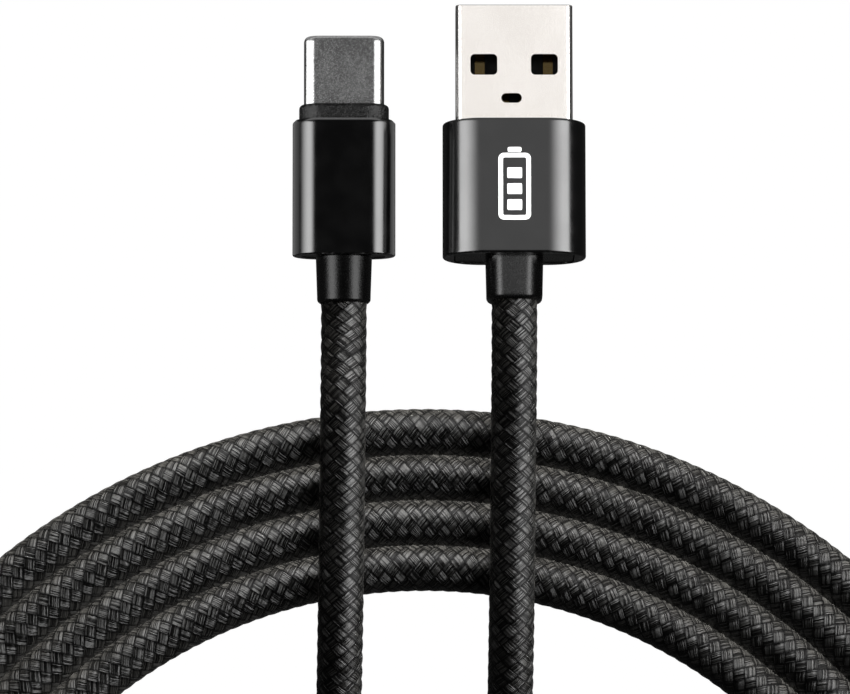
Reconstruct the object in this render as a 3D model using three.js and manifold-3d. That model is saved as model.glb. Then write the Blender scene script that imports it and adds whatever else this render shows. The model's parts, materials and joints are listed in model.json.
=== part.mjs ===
// A charging cable: a USB-A plug and a USB-C plug on one braided cord, lying on a flat surface.
// Millimetres, +Z up. The surface is z = 0 and the origin lies under the middle of the two plugs.
// The cord goes over a flat oval coil of four turns, down inside it, and into its first and last turn.
import * as THREE from 'three';
import { mergeVertices } from 'three/addons/utils/BufferGeometryUtils.js';
import Module from 'manifold-3d';

const wasm = await Module();
wasm.setup();

// Driving dimensions. In a plug, +y points to its tip, z is its thickness, and its housing's front is y = 0.
const GAP = 0.05; // between two pieces of one plug
const MOULD_GAP = 0.15; // between an inner mould and the rear of the shell that it holds
const CORD_GAP = 0.3; // between the cord's solids and what they meet
const CORD_DIAMETER = 4.65;
const CORD_RECESS = { radius: 2.4, depth: 2.3 }; // where the cord enters a strain relief
const WIRE = { diameter: 0.9, hole: 1.7, bundle: 0.6 };
const THROUGH = 40; // longer than any piece that is cut right through

const A = {
  x: 7.7,
  y: 3.14,
  pitch: 8.76, // degrees, tip down: it rests on its tip and on the front edge of its housing
  shell: { width: 12, height: 4.5, wall: 0.3, radius: 0.6, tip: 12, tail: -5.6 },
  window: { width: 2.75, length: 2.16, radius: 0.45, x: 3.1, fromTip: 6.1 },
  ovalHole: { width: 2.1, length: 1, x: -0.27, fromTip: 9.6 },
  block: { width: 11.3, height: 1.88, radius: 0.25, top: -0.02, front: 11.6, rear: -5.2 },
  contact: { width: 1, height: 0.25, shortFront: 9.8, longFront: 10.8, rear: -7.2 },
  contactPlaces: [-3.5, -1, 1, 3.5],
  housing: { width: 14.67, height: 8.2, radius: 4, length: 13.95 },
  bore: { width: 12.24, height: 5.7, radius: 1 },
  mould: { front: -0.25, rear: -12.95, cavityWidth: 10.6, cavityHeight: 4 },
  wires: { start: -5.8, bundle: -12.4 },
  relief: { width: 5.6, height: 5.6, radius: 1.7, end: -18.25 },
};

const C = {
  x: -9.75,
  y: 3.55,
  pitch: 4.5, // degrees, tip down: its rear is held up by the cord
  shell: { width: 8.25, height: 2.4, wall: 0.3, tip: 8.52, tail: -4.5 },
  carrier: { width: 7.45, height: 1.6, front: 8.2, rear: -3 },
  slot: { width: 6.75, height: 0.84, radius: 0.15, depth: 6 },
  contact: { width: 0.3, height: 0.15, z: 0.475, front: 7.2, rear: -5.4 },
  latch: { inner: 3.37, outer: 3.57, height: 0.5, tip: 7.3, hook: 0.25, hookLength: 0.8, rear: -3.6 },
  channel: { inner: 3.3, height: 0.64, front: 7.7 },
  bridge: { width: 6.56, height: 0.3, front: -3.35, length: 0.6 },
  pad: { width: 5, length: 0.5, height: 0.14, front: 8.05, z: 0.76 },
  collar: { width: 9.23, height: 5.3, front: 1.62, spigot: -2.15 },
  housing: { width: 10.57, height: 6.7, length: 14 },
  bore: { width: 8.72, height: 4.84 },
  board: { width: 6.8, height: 0.6, front: -4.3, length: 6.3 },
  resistor: { width: 0.5, length: 1, height: 0.35, x: 0.1, y: -6.9 },
  mould: { front: -2.3, rear: -12.9, cavityWidth: 7.6, cavityHeight: 3.1, cavityRadius: 1.4 },
  wires: { places: [-2.4, -0.8, 0.8, 2.4], start: -8.2, bend: -10.9, bundle: -13.2 },
  relief: { startRadius: 2.885, endRadius: 2.75, neckRadius: 2.3, end: -18.74 },
};

const END_PLATE = { front: 0.9, rear: 0.1 }; // of the strain relief, measured in from the housing's rear

// The coil: an oval of four turns side by side. Each turn keeps to its own lane, counted from the outside.
const COIL = {
  turns: 4,
  pitch: 4.66,
  top: { x: -1.53, y: -28.55 }, // the outermost turn's centre line at its top
  wideBend: 67.65, // bend radius of the outermost turn at the top and bottom
  tightBend: 28, // and round the two sides
  bendFrom: 41, // degrees from the top where the bend begins to tighten
  bendTo: 58,
  height: 4.4,
};
const TIE = { angle: 214, width: 12, thickness: 0.85, slack: 0.75, coreHeight: 4.75, radius: 0.9 };

// The cord's route outside the coil, as centre-line points from each strain relief to the coil.
const ROUTE_A = [
  [7.7, -15.2, 6.88],
  [7.7, -18.0, 7.24],
  [7.68, -22.5, 7.46],
  [7.62, -28.5, 7.22],
  [7.55, -36.0, 7.08],
  [7.48, -43.0, 7.05],
  [7.4, -49.0, 6.5],
  [7.3, -56.0, 4.6],
  [7.2, -63.0, 2.85],
  [7.1, -70.0, 2.4],
  [7.0, -77.0, 3.3],
  [6.7, -84.0, 5.55],
  [5.7, -90.5, 7.0],
  [2.9, -97.0, 7.1],
  [-2.6, -103.2, 7.1],
  [-9.6, -107.2, 7.1],
];
const ROUTE_C = [
  [-9.75, -15.45, 4.84],
  [-9.75, -18.0, 5.12],
  [-9.77, -21.5, 5.9],
  [-9.8, -25.5, 6.85],
  [-9.84, -30.5, 7.08],
  [-9.92, -37.0, 7.05],
  [-10.0, -43.0, 7.05],
  [-10.1, -49.0, 6.5],
  [-10.25, -56.0, 4.6],
  [-10.4, -63.0, 2.85],
  [-10.1, -70.0, 2.4],
  [-8.6, -77.5, 2.4],
  [-5.0, -84.8, 2.4],
  [0.4, -90.4, 2.4],
];

const COLOURS = {
  steel: { color: 0xd8d6d0, roughness: 0.25, metalness: 1 },
  gold: { color: 0xd8b25a, roughness: 0.3, metalness: 1 },
  anodised: { color: 0x1c1c1e, roughness: 0.35, metalness: 0.9 },
  plastic: { color: 0x141414, roughness: 0.5, metalness: 0 },
  innerMould: { color: 0x1a1a1a, roughness: 0.6, metalness: 0 },
  board: { color: 0x14503a, roughness: 0.5, metalness: 0 },
  braid: { color: 0x101010, roughness: 0.8, metalness: 0 },
};
const WIRE_COLOURS = { red: 0xb02020, green: 0x1f7a3a, white: 0xe6e6e2, black: 0x161616 };

// Outlines in a plug's x-z section.
function roundedRect(width, height, radius, x = 0, z = 0) {
  const [right, top] = [width / 2 - radius, height / 2 - radius];
  const quarter = Math.PI / 2;
  const shape = new THREE.Shape();
  shape.absarc(x + right, z + top, radius, 0, quarter);
  shape.absarc(x - right, z + top, radius, quarter, 2 * quarter);
  shape.absarc(x - right, z - top, radius, 2 * quarter, 3 * quarter);
  shape.absarc(x + right, z - top, radius, 3 * quarter, 4 * quarter);
  shape.closePath();
  return shape;
}

function stadium(width, height) {
  const [radius, quarter] = [height / 2, Math.PI / 2];
  const shape = new THREE.Shape();
  shape.absarc(width / 2 - radius, 0, radius, -quarter, quarter);
  shape.absarc(radius - width / 2, 0, radius, quarter, 3 * quarter);
  shape.closePath();
  return shape;
}

// A prism of an outline from a front plane back to a rear plane. An arc gets twice curveSegments sides.
function prism(outline, front, rear, hole = null, curveSegments = 4) {
  if (hole) outline.holes.push(hole);
  const options = { depth: front - rear, bevelEnabled: false, curveSegments };
  const geometry = new THREE.ExtrudeGeometry(outline, options);
  return geometry.rotateX(Math.PI / 2).translate(0, front, 0);
}

// A plate of an outline in the x-y plane, from one height to another.
function plate(outline, low, high) {
  const options = { depth: high - low, bevelEnabled: false, curveSegments: 3 };
  return new THREE.ExtrudeGeometry(outline, options).translate(0, 0, low);
}

function box(low, high) {
  const [from, to] = [new THREE.Vector3(...low), new THREE.Vector3(...high)];
  const size = to.clone().sub(from);
  const middle = from.add(to).multiplyScalar(0.5);
  return new THREE.BoxGeometry(...size.toArray()).translate(...middle.toArray());
}

function rod(radius, front, rear, sides = 20) {
  const geometry = new THREE.CylinderGeometry(radius, radius, front - rear, sides);
  return geometry.translate(0, (front + rear) / 2, 0);
}

function tube(points, radius, steps, sides) {
  const path = new THREE.CatmullRomCurve3(points.map((point) => new THREE.Vector3(...point)));
  const section = new THREE.Shape().absarc(0, 0, radius, 0, 2 * Math.PI);
  const options = { steps, extrudePath: path, bevelEnabled: false, curveSegments: sides / 2 };
  return new THREE.ExtrudeGeometry(section, options);
}

// Booleans.
function solid(geometry) {
  const bare = geometry.clone();
  bare.deleteAttribute('normal');
  bare.deleteAttribute('uv');
  const merged = mergeVertices(bare, 1e-4);
  const vertProperties = Float32Array.from(merged.attributes.position.array);
  const triVerts = Uint32Array.from(merged.index.array);
  return new wasm.Manifold(new wasm.Mesh({ numProp: 3, vertProperties, triVerts }));
}

function geometryOf(manifold) {
  const { vertProperties, triVerts } = manifold.getMesh();
  const geometry = new THREE.BufferGeometry();
  geometry.setAttribute('position', new THREE.BufferAttribute(vertProperties, 3));
  geometry.setIndex(new THREE.BufferAttribute(triVerts, 1));
  return geometry;
}

function cut(geometry, tools) {
  return geometryOf(tools.reduce((left, tool) => left.subtract(solid(tool)), solid(geometry)));
}

function join(first, second) {
  return geometryOf(solid(first).add(solid(second)));
}

function mesh(name, geometry, look) {
  const piece = new THREE.Mesh(geometry, new THREE.MeshStandardMaterial(look));
  piece.name = name;
  return piece;
}

// Both ends of the cord: four wires from their solder joints to the bundle in the strain relief.
function wires(plug, starts, bendAt, bundleAt, reliefEnd) {
  const corners = [[-1, 1], [-1, -1], [1, -1], [1, 1]];
  const end = reliefEnd + CORD_RECESS.depth + GAP;
  return Object.entries(WIRE_COLOURS).map(([colour, color], index) => {
    const [x, y, z] = starts[index];
    const [side, level] = corners[index].map((sign) => sign * WIRE.bundle);
    const points = [
      [x, y, z],
      [x, bendAt, z],
      [(x + side) / 2, (bendAt + bundleAt) / 2, (z + level) / 2],
      [side, bundleAt, level],
      [side, end, level],
    ];
    const look = { color, roughness: 0.5, metalness: 0 };
    return mesh(`${plug}_wire_${colour}`, tube(points, WIRE.diameter / 2, 12, 6), look);
  });
}

function strainRelief(name, body, housingRear, end) {
  const recessFront = end + CORD_RECESS.depth;
  const holes = [
    rod(CORD_RECESS.radius, recessFront, end - 1, 24),
    rod(WIRE.hole, housingRear + THROUGH, recessFront - 0.1, 16),
  ];
  return mesh(name, cut(body, holes), COLOURS.plastic);
}

// The USB-A plug, from its shell back to its strain relief.
function usbAShell() {
  const { width, height, wall, radius, tip, tail } = A.shell;
  const inside = roundedRect(width - 2 * wall, height - 2 * wall, radius - wall);
  const sleeve = prism(roundedRect(width, height, radius), tip, tail, inside);
  const { x, fromTip } = A.window;
  const windows = [-x, x].map((side) => {
    const outline = roundedRect(A.window.width, A.window.length, A.window.radius, side, tip - fromTip);
    return plate(outline, -height, height);
  });
  const { x: ovalX, width: ovalWidth, length: ovalLength } = A.ovalHole;
  const ovalOutline = roundedRect(ovalWidth, ovalLength, 0.49 * ovalLength, ovalX, tip - A.ovalHole.fromTip);
  return mesh('usb_a_shell', cut(sleeve, [...windows, plate(ovalOutline, 0, height)]), COLOURS.steel);
}

function usbAContactFront(index) {
  const outer = index === 0 || index === A.contactPlaces.length - 1;
  return outer ? A.contact.longFront : A.contact.shortFront;
}

function usbAContactBlock() {
  const { width, height, radius, top, front, rear } = A.block;
  const outline = roundedRect(width, height, radius, 0, top - height / 2);
  const grooves = A.contactPlaces.map((x, index) => {
    const half = A.contact.width / 2 + GAP;
    const low = [x - half, rear - 1, top - A.contact.height - GAP];
    return box(low, [x + half, usbAContactFront(index) + GAP, top + 1]);
  });
  return mesh('usb_a_contact_block', cut(prism(outline, front, rear), grooves), COLOURS.plastic);
}

function usbAContacts() {
  const half = A.contact.width / 2;
  return A.contactPlaces.map((x, index) => {
    const low = [x - half, A.contact.rear, A.block.top - A.contact.height];
    const strip = box(low, [x + half, usbAContactFront(index), A.block.top]);
    return mesh(`usb_a_contact_${index + 1}`, strip, COLOURS.gold);
  });
}

function usbAHousing() {
  const { width, height, radius, length } = A.housing;
  const bore = roundedRect(A.bore.width, A.bore.height, A.bore.radius);
  const sleeve = prism(roundedRect(width, height, radius), 0, -length, bore, 5);
  return mesh('usb_a_housing', sleeve, COLOURS.anodised);
}

function usbAFilling() {
  const { width, height, radius } = A.bore;
  return roundedRect(width - 2 * GAP, height - 2 * GAP, radius - GAP);
}

function usbAInnerMould() {
  const { front, rear, cavityWidth, cavityHeight } = A.mould;
  const halfShell = A.shell.height / 2 + GAP;
  const shellHole = box([-THROUGH, A.shell.tail - MOULD_GAP, -halfShell], [THROUGH, THROUGH, halfShell]);
  const [halfWidth, halfHeight] = [cavityWidth / 2, cavityHeight / 2];
  const cavity = box([-halfWidth, -THROUGH, -halfHeight], [halfWidth, 0, halfHeight]);
  const body = cut(prism(usbAFilling(), front, rear), [shellHole, cavity]);
  return mesh('usb_a_inner_mould', body, COLOURS.innerMould);
}

function usbAStrainRelief() {
  const rear = -A.housing.length;
  const { width, height, radius, end } = A.relief;
  const endPlate = prism(usbAFilling(), rear + END_PLATE.front, rear + END_PLATE.rear);
  const sleeve = prism(roundedRect(width, height - 2 * GAP, radius), rear + END_PLATE.front / 2, end);
  return strainRelief('usb_a_strain_relief', join(endPlate, sleeve), rear, end);
}

function usbAWires() {
  const z = A.block.top + GAP + WIRE.diameter / 2;
  const starts = A.contactPlaces.map((x) => [x, A.wires.start, z]);
  return wires('usb_a', starts, A.contact.rear, A.wires.bundle, A.relief.end);
}

// The USB-C plug, from its shell back to its strain relief.
const USB_C_CONTACTS = {
  upper: { ground_left: -2.75, power_left: -1.25, channel: -0.75, data_plus: -0.25, data_minus: 0.25,
    power_right: 1.25, ground_right: 2.75 },
  lower: { ground_left: -2.75, power_left: -1.25, power_right: 1.25, ground_right: 2.75 },
};

function usbCContactPlaces() {
  return Object.entries(USB_C_CONTACTS).flatMap(([row, places]) => {
    const z = row === 'upper' ? C.contact.z : -C.contact.z;
    return Object.entries(places).map(([role, x]) => ({ name: `usb_c_contact_${row}_${role}`, x, z }));
  });
}

function usbCShell() {
  const { width, height, wall, tip, tail } = C.shell;
  const inside = stadium(width - 2 * wall, height - 2 * wall);
  return mesh('usb_c_shell', prism(stadium(width, height), tip, tail, inside, 6), COLOURS.steel);
}

function usbCCarrier() {
  const { width, height, front, rear } = C.carrier;
  const { slot, channel, contact, pad } = C;
  const slotOutline = roundedRect(slot.width, slot.height, slot.radius);
  const tongueSlot = prism(slotOutline, front + 1, front - slot.depth);
  const channels = [-1, 1].map((side) => {
    const [near, far] = [side * channel.inner, side * width].sort((a, b) => a - b);
    return box([near, rear - 1, -channel.height / 2], [far, channel.front, channel.height / 2]);
  });
  const grooves = usbCContactPlaces().map(({ x, z }) => {
    const [halfWidth, halfHeight] = [contact.width / 2 + GAP, contact.height / 2 + GAP];
    const low = [x - halfWidth, rear - 1, z - halfHeight];
    return box(low, [x + halfWidth, contact.front + GAP, z + halfHeight]);
  });
  const padSeats = [-1, 1].map((side) => {
    const floor = side * (pad.z - pad.height / 2 - GAP);
    const [low, high] = [floor, side * height].sort((a, b) => a - b);
    const half = pad.width / 2 + GAP;
    return box([-half, pad.front - pad.length - GAP, low], [half, pad.front + GAP, high]);
  });
  const body = prism(stadium(width, height), front, rear);
  const carrier = cut(body, [tongueSlot, ...channels, ...grooves, ...padSeats]);
  return mesh('usb_c_contact_carrier', carrier, COLOURS.plastic);
}

function usbCContacts() {
  const { width, height, front, rear } = C.contact;
  return usbCContactPlaces().map(({ name, x, z }) => {
    const strip = box([x - width / 2, rear, z - height / 2], [x + width / 2, front, z + height / 2]);
    return mesh(name, strip, COLOURS.gold);
  });
}

function usbCShieldPads() {
  const { width, length, height, front, z } = C.pad;
  return Object.entries({ upper: z, lower: -z }).map(([name, level]) => {
    const low = [-width / 2, front - length, level - height / 2];
    const high = [width / 2, front, level + height / 2];
    return mesh(`usb_c_shield_pad_${name}`, box(low, high), COLOURS.steel);
  });
}

// The spring arms grip the socket's tongue with a hook that points inwards near each tip.
function usbCLatchArm(name, side) {
  const { inner, outer, height, tip, hook, hookLength, rear } = C.latch;
  const outline = [
    [outer, rear],
    [outer, tip],
    [inner, tip],
    [inner - hook, tip - hookLength / 2],
    [inner, tip - hookLength],
    [inner, rear],
  ].map(([x, y]) => new THREE.Vector2(side * x, y));
  return mesh(name, plate(new THREE.Shape(outline), -height / 2, height / 2), COLOURS.steel);
}

function usbCLatchBridge() {
  const { width, height, front, length } = C.bridge;
  const strip = box([-width / 2, front - length, -height / 2], [width / 2, front, height / 2]);
  return mesh('usb_c_latch_bridge', strip, COLOURS.steel);
}

function usbCFilling() {
  return stadium(C.bore.width - 2 * GAP, C.bore.height - 2 * GAP);
}

function usbCCollar() {
  const ring = prism(stadium(C.collar.width, C.collar.height), C.collar.front, GAP);
  const spigot = prism(usbCFilling(), C.collar.front / 2, C.collar.spigot);
  const bore = prism(stadium(C.shell.width + 2 * GAP, C.shell.height + 2 * GAP), THROUGH, -THROUGH);
  return mesh('usb_c_collar', cut(join(ring, spigot), [bore]), COLOURS.plastic);
}

function usbCHousing() {
  const { width, height, length } = C.housing;
  const bore = stadium(C.bore.width, C.bore.height);
  return mesh('usb_c_housing', prism(stadium(width, height), 0, -length, bore, 8), COLOURS.anodised);
}

function usbCBoard() {
  const { width, height, front, length } = C.board;
  const slab = box([-width / 2, front - length, -height / 2], [width / 2, front, height / 2]);
  return mesh('usb_c_circuit_board', slab, COLOURS.board);
}

function usbCResistor() {
  const { width, length, height, x, y } = C.resistor;
  const low = [x - width / 2, y - length / 2, C.board.height / 2 + GAP];
  const high = [x + width / 2, y + length / 2, C.board.height / 2 + GAP + height];
  return mesh('usb_c_pull_up_resistor', box(low, high), COLOURS.plastic);
}

function usbCInnerMould() {
  const { front, rear, cavityWidth, cavityHeight, cavityRadius } = C.mould;
  const shellOutline = stadium(C.shell.width + MOULD_GAP, C.shell.height + MOULD_GAP);
  const shellHole = prism(shellOutline, THROUGH, C.shell.tail - MOULD_GAP);
  const cavity = prism(roundedRect(cavityWidth, cavityHeight, cavityRadius), THROUGH, -THROUGH);
  const body = cut(prism(usbCFilling(), front, rear), [shellHole, cavity]);
  return mesh('usb_c_inner_mould', body, COLOURS.innerMould);
}

function usbCStrainRelief() {
  const rear = -C.housing.length;
  const { startRadius, endRadius, neckRadius, end } = C.relief;
  const endPlate = prism(usbCFilling(), rear + END_PLATE.front, rear + END_PLATE.rear);
  const [neckFront, start] = [rear + END_PLATE.front / 2, rear - GAP];
  const profile = [[0, end], [endRadius, end], [startRadius, start], [neckRadius, start],
    [neckRadius, neckFront], [0, neckFront]];
  const sleeve = new THREE.LatheGeometry(profile.map((point) => new THREE.Vector2(...point)), 24);
  return strainRelief('usb_c_strain_relief', join(endPlate, sleeve), rear, end);
}

function usbCWires() {
  const z = C.board.height / 2 + GAP + WIRE.diameter / 2;
  const starts = C.wires.places.map((x) => [x, C.wires.start, z]);
  return wires('usb_c', starts, C.wires.bend, C.wires.bundle, C.relief.end);
}

function placed(plug, housingHeight, pieces) {
  const pitch = THREE.MathUtils.degToRad(plug.pitch);
  const group = new THREE.Group();
  group.add(...pieces);
  group.rotation.x = -pitch;
  group.position.set(plug.x, plug.y, (housingHeight / 2) * Math.cos(pitch));
  return group;
}

// The coil's centre lines: turned through from the top, anticlockwise seen from above.
function bendRadius(angle) {
  const [from, to] = [COIL.bendFrom, COIL.bendTo].map((limit) => Math.sin(THREE.MathUtils.degToRad(limit)));
  const side = THREE.MathUtils.smoothstep(Math.abs(Math.sin(angle)), from, to);
  return THREE.MathUtils.lerp(COIL.wideBend, COIL.tightBend, side);
}

// The oval at a distance inside the outermost turn's centre line.
function oval(inset, points = 80, finer = 12) {
  const step = (2 * Math.PI) / (points * finer);
  let { x, y } = COIL.top;
  const outline = [];
  for (let index = 0; index < points * finer; index += 1) {
    const angle = index * step;
    if (index % finer === 0) {
      outline.push(new THREE.Vector2(x + inset * Math.sin(angle), y - inset * Math.cos(angle)));
    }
    const stride = bendRadius(angle + step / 2) * step;
    x -= stride * Math.cos(angle + step / 2);
    y -= stride * Math.sin(angle + step / 2);
  }
  return outline;
}

// The tie goes round all the turns, and under them. It is drawn along +x from the middle of the coil's
// lower bend, then turned to its place there.
const TIE_SPAN = {
  near: COIL.wideBend - (COIL.turns - 1) * COIL.pitch - CORD_DIAMETER / 2 - TIE.slack,
  far: COIL.wideBend + CORD_DIAMETER / 2 + TIE.slack,
};

function toTie(geometry) {
  const bottom = Math.min(...oval(0).map((point) => point.y));
  const turn = THREE.MathUtils.degToRad(TIE.angle - 270);
  return geometry.rotateZ(turn).translate(COIL.top.x, bottom + COIL.wideBend, 0);
}

function cordCoil() {
  const half = CORD_DIAMETER / 2;
  const outline = new THREE.Shape(oval(-half));
  outline.holes.push(new THREE.Path(oval((COIL.turns - 1) * COIL.pitch + half)));
  const reach = TIE.width / 2 + CORD_GAP;
  const low = [TIE_SPAN.near - TIE.thickness, -reach, -1];
  const passage = box(low, [TIE_SPAN.far + TIE.thickness, reach, TIE.thickness + CORD_GAP]);
  return mesh('cord_coil', cut(plate(outline, 0, COIL.height), [toTie(passage)]), COLOURS.braid);
}

function cordTie() {
  const { near, far } = TIE_SPAN;
  const [width, height, middle] = [far - near, TIE.coreHeight, (near + far) / 2];
  const z = TIE.thickness + height / 2;
  const opening = roundedRect(width, height, TIE.radius, middle, z);
  const outline = roundedRect(width + 2 * TIE.thickness, height + 2 * TIE.thickness,
    TIE.radius + TIE.thickness, middle, z);
  const band = prism(outline, TIE.width / 2, -TIE.width / 2, opening);
  return mesh('cord_tie', toTie(band), COLOURS.braid);
}

const cable = new THREE.Group();
cable.add(
  placed(A, A.housing.height, [
    usbAShell(),
    usbAContactBlock(),
    ...usbAContacts(),
    usbAHousing(),
    usbAInnerMould(),
    usbAStrainRelief(),
    ...usbAWires(),
  ]),
  placed(C, C.housing.height, [
    usbCShell(),
    usbCCarrier(),
    ...usbCContacts(),
    ...usbCShieldPads(),
    usbCLatchBridge(),
    usbCLatchArm('usb_c_latch_arm_right', 1),
    usbCLatchArm('usb_c_latch_arm_left', -1),
    usbCCollar(),
    usbCHousing(),
    usbCBoard(),
    usbCResistor(),
    usbCInnerMould(),
    usbCStrainRelief(),
    ...usbCWires(),
  ]),
  mesh('cord_lead_a', tube(ROUTE_A, CORD_DIAMETER / 2, 20, 8), COLOURS.braid),
  mesh('cord_lead_c', tube(ROUTE_C, CORD_DIAMETER / 2, 16, 8), COLOURS.braid),
  cordCoil(),
  cordTie(),
);

export default cable;
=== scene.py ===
"""A braided charging cable with a USB-A and a USB-C plug, its spare length in a flat oval coil with a tie."""
import json
import math

import bmesh
import bpy
import numpy as np
from mathutils import Matrix, Vector

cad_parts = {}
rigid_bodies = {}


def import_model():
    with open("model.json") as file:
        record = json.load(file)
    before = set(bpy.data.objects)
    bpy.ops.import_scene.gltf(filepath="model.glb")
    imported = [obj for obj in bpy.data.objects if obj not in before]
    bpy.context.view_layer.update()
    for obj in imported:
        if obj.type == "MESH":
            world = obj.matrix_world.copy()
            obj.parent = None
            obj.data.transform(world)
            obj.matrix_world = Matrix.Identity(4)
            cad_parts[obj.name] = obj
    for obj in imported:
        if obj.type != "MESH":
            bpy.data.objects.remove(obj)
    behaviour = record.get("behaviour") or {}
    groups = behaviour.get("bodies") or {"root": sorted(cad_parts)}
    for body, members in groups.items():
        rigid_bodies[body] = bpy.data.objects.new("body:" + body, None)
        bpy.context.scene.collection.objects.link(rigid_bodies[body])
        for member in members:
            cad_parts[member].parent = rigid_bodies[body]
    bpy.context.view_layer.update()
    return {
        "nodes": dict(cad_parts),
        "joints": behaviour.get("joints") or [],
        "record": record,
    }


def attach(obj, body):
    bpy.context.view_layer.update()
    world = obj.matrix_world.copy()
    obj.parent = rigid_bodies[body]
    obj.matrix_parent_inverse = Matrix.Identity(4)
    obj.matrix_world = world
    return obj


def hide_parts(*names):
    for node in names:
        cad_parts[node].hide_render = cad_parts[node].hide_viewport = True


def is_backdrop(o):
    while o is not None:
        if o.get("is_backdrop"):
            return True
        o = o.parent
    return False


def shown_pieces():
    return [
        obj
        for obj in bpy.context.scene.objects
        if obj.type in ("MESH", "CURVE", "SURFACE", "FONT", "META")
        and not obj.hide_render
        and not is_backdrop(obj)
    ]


for leftover in list(bpy.data.objects):
    bpy.data.objects.remove(leftover)
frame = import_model()
MM = 0.001

# ---------------------------------------------------------------- camera
SENSOR = 36
VIEW_CENTRE = Vector((-1.43, -19.67, 4.0)) * MM
VIEW_WIDTH = 87.27 * MM  # what the picture spans at the height of the plugs' top faces
VIEW_DISTANCE = 0.6
CLIP = (0.01, 20)


def make_camera():
    data = bpy.data.cameras.new("camera")
    data.sensor_width = SENSOR
    data.lens = SENSOR * VIEW_DISTANCE / VIEW_WIDTH
    data.clip_start, data.clip_end = CLIP
    camera = bpy.data.objects.new("camera", data)
    camera.location = VIEW_CENTRE + Vector((0, 0, VIEW_DISTANCE))
    bpy.context.scene.collection.objects.link(camera)
    bpy.context.scene.camera = camera


make_camera()

# ---------------------------------------------------------------- where the two plugs lie
# In a plug, +y points to its tip, z is its thickness, and its housing's front is y = 0, in millimetres.
A_MOUNT = Vector((0, 10, 2.25))  # on the shell's top face
C_LATCH_PIVOT_Y = -3.4
A_RELIEF_END = -18.45
C_RELIEF_END = -18.82
CORD_START = 2.1  # how far the cord reaches into a strain relief


def plug_matrix(origin, thickness_axis):
    """From a plug's own millimetres to the frame's metres."""
    z = Vector(thickness_axis).normalized()
    x = Vector((1, 0, 0))
    y = z.cross(x)
    turn = Matrix((x, y, z)).transposed()
    return Matrix.Translation(origin) @ turn.to_4x4() @ Matrix.Scale(MM, 4)


def place_plugs():
    mount = next(m for m in frame["record"]["mounts"] if m["name"] == "usb_a_mating_face")
    at_mount = plug_matrix((0, 0, 0), mount["axis"])
    plug_a = Matrix.Translation(Vector(mount["pos_m"]) - at_mount @ A_MOUNT) @ at_mount
    joints = {j["name"]: j for j in frame["joints"]}
    right, left = joints["latch_right"], joints["latch_left"]
    between = (Vector(right["pos_m"]) + Vector(left["pos_m"])) / 2
    at_pivot = plug_matrix((0, 0, 0), left["axis"])
    plug_c = Matrix.Translation(between - at_pivot @ Vector((0, C_LATCH_PIVOT_Y, 0))) @ at_pivot
    return plug_a, plug_c


PLUG_A, PLUG_C = place_plugs()

# ---------------------------------------------------------------- the cord
CORD_DIAMETER = 4.72
COIL_DIAMETER = 4.86  # the braid bunches up a little where the cord is wound
CORD_ON_FLOOR = 2.44
# The coil is an oval of four turns side by side. A lane is counted inwards from the outermost turn.
COIL_TURNS = 4
LEAD_LENGTH = 80  # of the cord, at each end
WIDENS_OVER = 15  # of the cord, from a lead's diameter to the coil's
COIL_PITCH = 4.64
COIL_TOP = (-1.53, -28.43)
WIDE_BEND = 67.65
TIGHT_BEND = 28
BEND_FROM, BEND_TO = (math.sin(math.radians(limit)) for limit in (41, 58))
COIL_START, COIL_END = 202, 1600  # degrees turned through from the top, anticlockwise
LANE_CHANGES = (525, 885, 1245)
LANE_CHANGE_TAKES = 35
RISE_START, RISE_TAKES = 1568, 44  # degrees, where the outermost turn rises over the others
RISE_HEIGHT = 2.54
TIE_ANGLE = 214
TIE_REACH = 16  # degrees to either side of the tie in which the cord rises onto its strap
TIE_THICKNESS = 0.85
SPLINE_STEP = 0.25
SPLINE_POINTS = 40  # between two of the points that the spline goes through
SMOOTHING = 8  # spline steps
FIXED_END, EASES_OVER = 24, 60  # spline steps at each end that stay, and over which the smoothing sets in

ROUTE_A = [
    (7.7, -15.2, 6.88),
    (7.7, -18.0, 7.24),
    (7.68, -22.5, 7.46),
    (7.62, -28.5, 7.22),
    (7.55, -36.0, 7.08),
    (7.48, -43.0, 7.05),
    (7.4, -49.0, 6.5),
    (7.3, -56.0, 4.6),
    (7.2, -63.0, 2.85),
    (7.1, -70.0, 2.4),
    (7.0, -77.0, 3.3),
    (6.7, -84.0, 5.55),
    (5.7, -90.5, 7.0),
    (2.9, -97.0, 7.1),
    (-2.6, -103.2, 7.1),
    (-9.6, -107.2, 7.1),
]
ROUTE_C = [
    (-9.75, -15.45, 4.84),
    (-9.75, -18.0, 5.12),
    (-9.77, -21.5, 5.9),
    (-9.8, -25.5, 6.85),
    (-9.84, -30.5, 7.08),
    (-9.92, -37.0, 7.05),
    (-10.0, -43.0, 7.05),
    (-10.1, -49.0, 6.5),
    (-10.25, -56.0, 4.6),
    (-10.4, -63.0, 2.85),
    (-10.1, -70.0, 2.4),
    (-8.6, -77.5, 2.4),
    (-5.0, -84.8, 2.4),
    (0.4, -90.4, 2.4),
]
INTO_COIL = [(7.3, -93.9, CORD_ON_FLOOR), (13.5, -95.3, CORD_ON_FLOOR)]
OUT_OF_COIL = [(-17.0, -108.7, 6.2)]


def smoothstep(value):
    t = np.clip(value, 0, 1)
    return t * t * (3 - 2 * t)


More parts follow.
